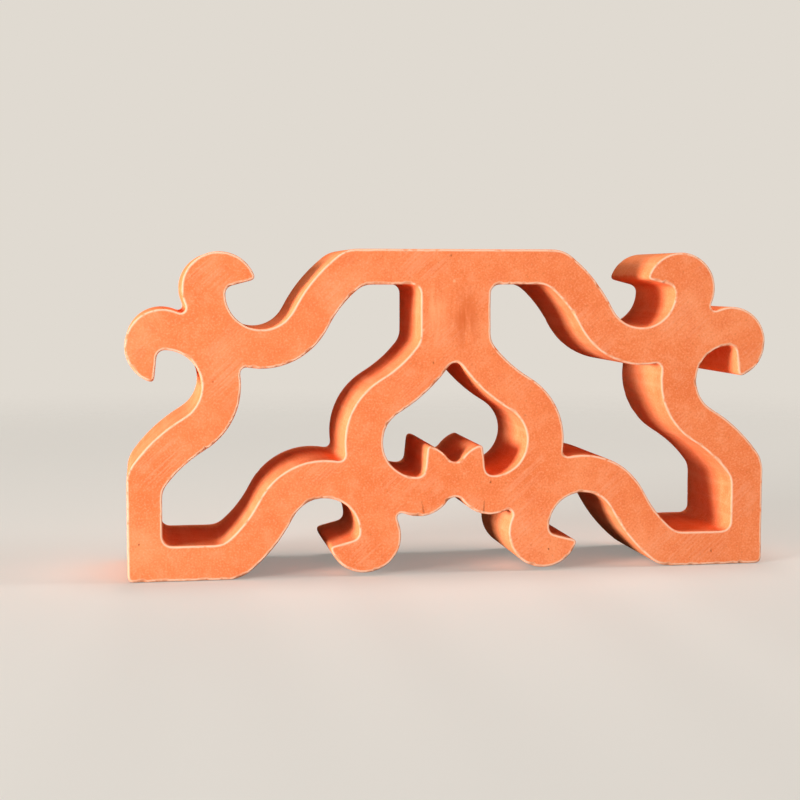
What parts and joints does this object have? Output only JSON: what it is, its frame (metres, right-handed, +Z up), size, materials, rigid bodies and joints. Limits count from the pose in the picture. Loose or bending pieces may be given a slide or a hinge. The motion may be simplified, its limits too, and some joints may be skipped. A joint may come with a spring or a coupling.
{
  "type": "breeze block",
  "caption": "Upright ventilation block of fired clay, with scrolled windows either side of a stem, a heart-shaped hole, and curled hooks at the upper corners and between the feet.",
  "frame": {"origin": "middle of the bearing faces of the feet, halfway through the depth", "axes": "+X along the wall, +Y through the wall from the front face to the back face, +Z up the wall"},
  "size_m": [0.3, 0.06, 0.15],
  "materials": {
    "fired_terracotta": "unglazed, matt, wire-cut front and back faces"
  },
  "bodies": {
    "root": {"block": "fired_terracotta"}
  },
  "joints": []
}
